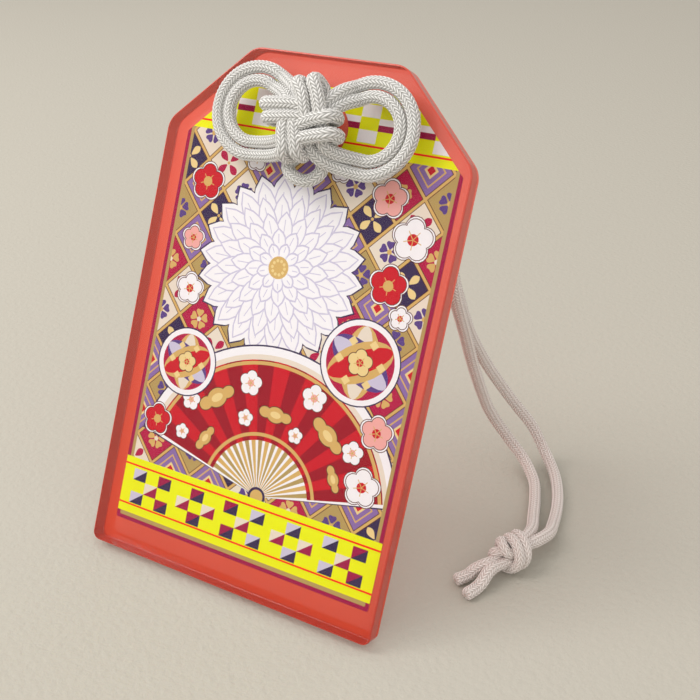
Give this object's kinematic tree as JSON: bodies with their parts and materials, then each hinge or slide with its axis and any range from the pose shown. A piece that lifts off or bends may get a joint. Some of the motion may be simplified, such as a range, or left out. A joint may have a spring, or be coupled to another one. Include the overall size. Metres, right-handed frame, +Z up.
{
  "type": "acrylic shrine charm on a knotted cord",
  "caption": "Clear acrylic shrine charm with sloping shoulders and a picture behind it, leaning back on a white braided cord tied in a doubled ornamental knot.",
  "frame": {"origin": "on the table, under the middle of the box round the leaning plate", "axes": "+Z up, +X to the right as one faces the picture, +Y to the back"},
  "size_m": [0.0667, 0.0566, 0.0732],
  "materials": {
    "clear_acrylic": "polished clear sheet",
    "picture_ink": null,
    "red_acrylic": "translucent red sheet",
    "cord": "white braided cord"
  },
  "bodies": {
    "charm": {"clear_plate": "clear_acrylic", "picture_sheet": "picture_ink", "red_sheet": "red_acrylic", "tail_strand_outer": "cord", "tail_strand_inner": "cord", "end_knot_first": "cord", "end_knot_second": "cord", "cut_end_first": "cord", "cut_end_second": "cord"},
    "knot": {"front_knot": "cord"}
  },
  "joints": [
    {"name": "knot_turn", "type": "hinge", "parent": "charm", "child": "knot", "pos_m": [0, 0.0118, 0.06423], "axis": [0, -0.8988, 0.4384], "range_deg": [-15, 15]}
  ]
}
